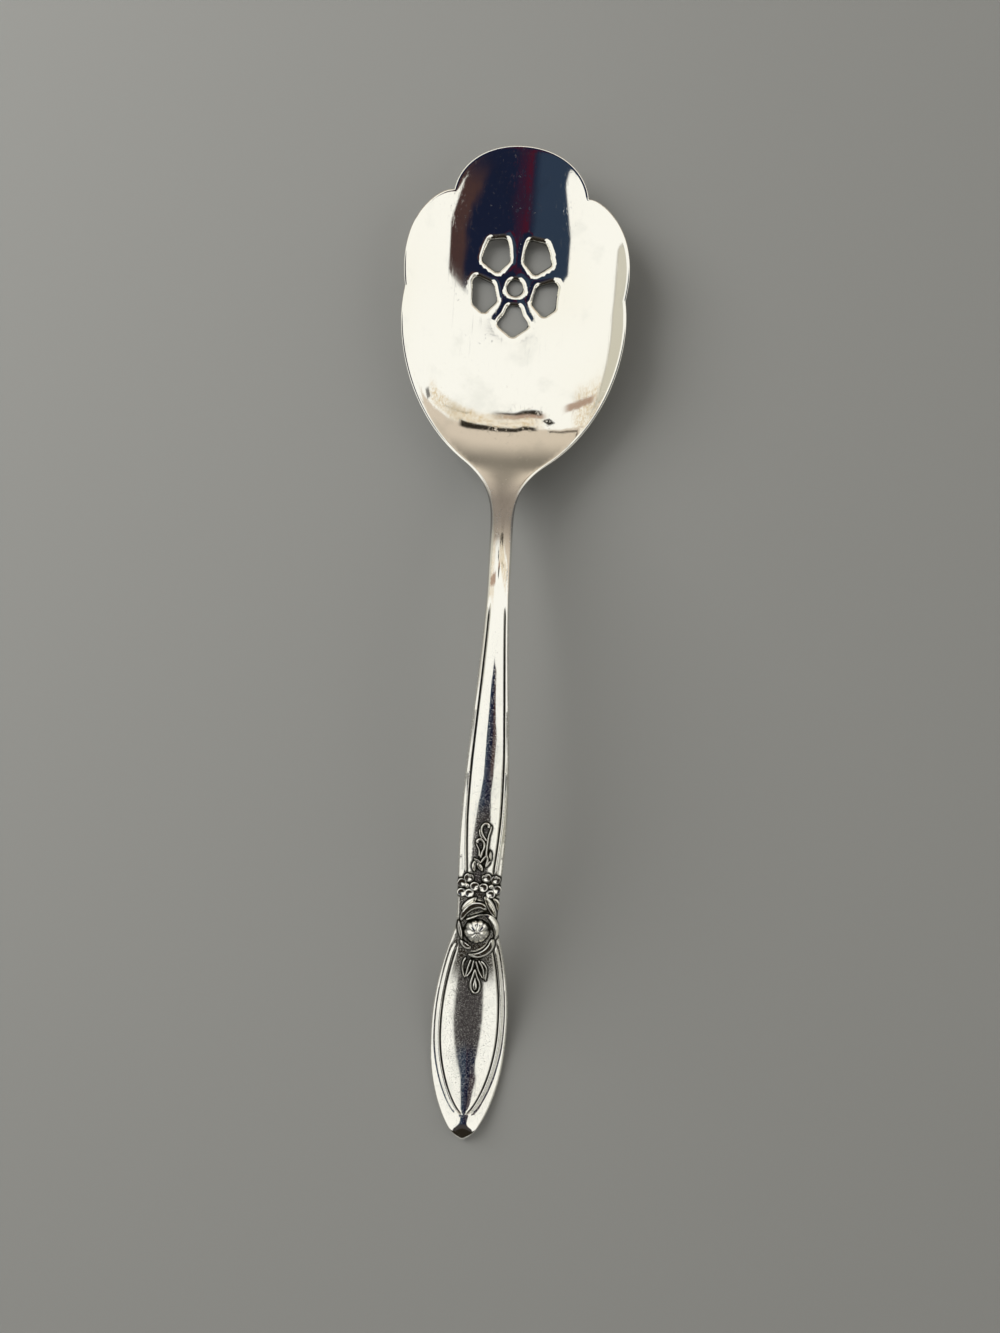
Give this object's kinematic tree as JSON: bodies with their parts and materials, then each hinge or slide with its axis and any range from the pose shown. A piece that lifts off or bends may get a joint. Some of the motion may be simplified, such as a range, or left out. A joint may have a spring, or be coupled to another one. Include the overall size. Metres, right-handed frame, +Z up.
{
  "type": "pierced sugar spoon",
  "caption": "Polished sugar spoon with a scalloped, flower-pierced bowl, an arched slim neck and a pointed handle end with raised blossoms, a rose and leaves.",
  "frame": {"origin": "on the table under the middle of the spoon's length and width", "axes": "+Y along the spoon towards the bowl tip, +Z up out of the bowl, +X to the right with the bowl tip away from the viewer"},
  "size_m": [0.034, 0.1524, 0.0186],
  "materials": {
    "bowl": "mirror-polished silver plate",
    "handle": "polished silver plate with fine wear",
    "relief": "polished raised ornament with darkened recesses"
  },
  "bodies": {
    "root": {"bowl": "bowl", "neck": "handle", "stem": "handle", "handle_end": "handle", "left_blossom": "relief", "right_blossom": "relief", "rose": "relief", "upper_bud": "relief", "lower_bud": "relief", "left_sepal": "relief", "right_sepal": "relief", "left_leaf": "relief", "right_leaf": "relief", "outer_leaf": "relief", "rose_top_petal": "relief", "rose_right_petal": "relief", "rose_left_petal": "relief", "rose_lower_petal": "relief", "left_drop_leaf": "relief", "right_drop_leaf": "relief", "centre_drop": "relief"}
  },
  "joints": []
}
